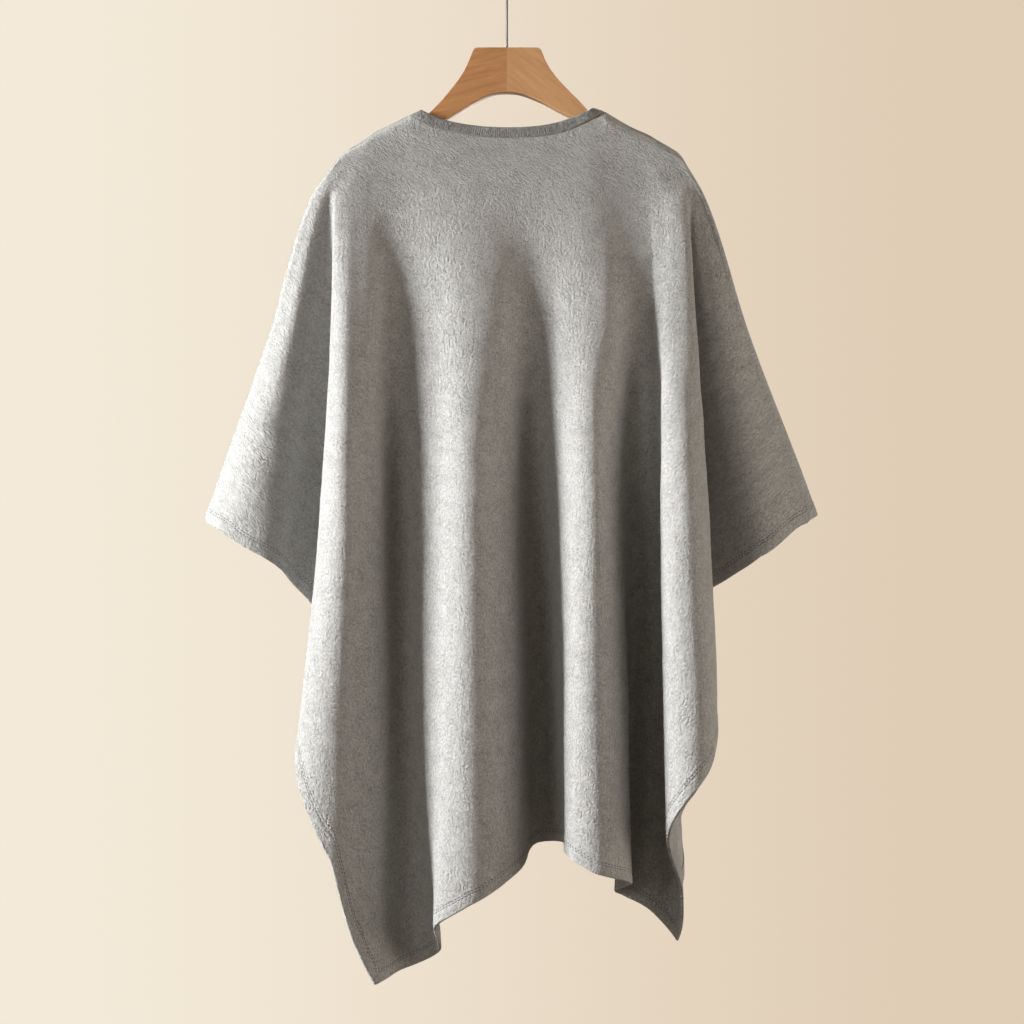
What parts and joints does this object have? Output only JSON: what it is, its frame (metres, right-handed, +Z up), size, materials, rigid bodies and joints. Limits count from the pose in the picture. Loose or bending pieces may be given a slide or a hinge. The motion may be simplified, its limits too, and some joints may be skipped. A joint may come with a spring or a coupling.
{
  "type": "knitted poncho sweater on a wooden hanger",
  "caption": "Open-sided knitted poncho with short wing sleeves and a round neckband, hanging in soft folds from a flat wooden hanger with a wire hook.",
  "frame": {"origin": "the inside top of the hook, where it rests on a rail", "axes": "+Z up, +X to the wearer's right hand as the back is seen, the back panel on the -Y side and the front panel on the +Y side"},
  "size_m": [0.688, 0.307, 1.1366],
  "materials": {
    "knit": "heathered mid-grey brushed knit with a soft nap, turned hems with two rows of stitches",
    "rib_knit": "narrow folded rib band of the same heathered grey yarn",
    "wood_left": "sanded, lightly oiled reddish beech",
    "wood_right": "sanded, lightly oiled paler beech",
    "hook_wire": "thin dark drawn steel wire"
  },
  "bodies": {
    "root": {"back_panel": "knit", "front_panel": "knit", "neckband": "rib_knit", "hanger_arm_left": "wood_left", "hanger_arm_right": "wood_right", "hook_wire": "hook_wire"}
  },
  "joints": []
}
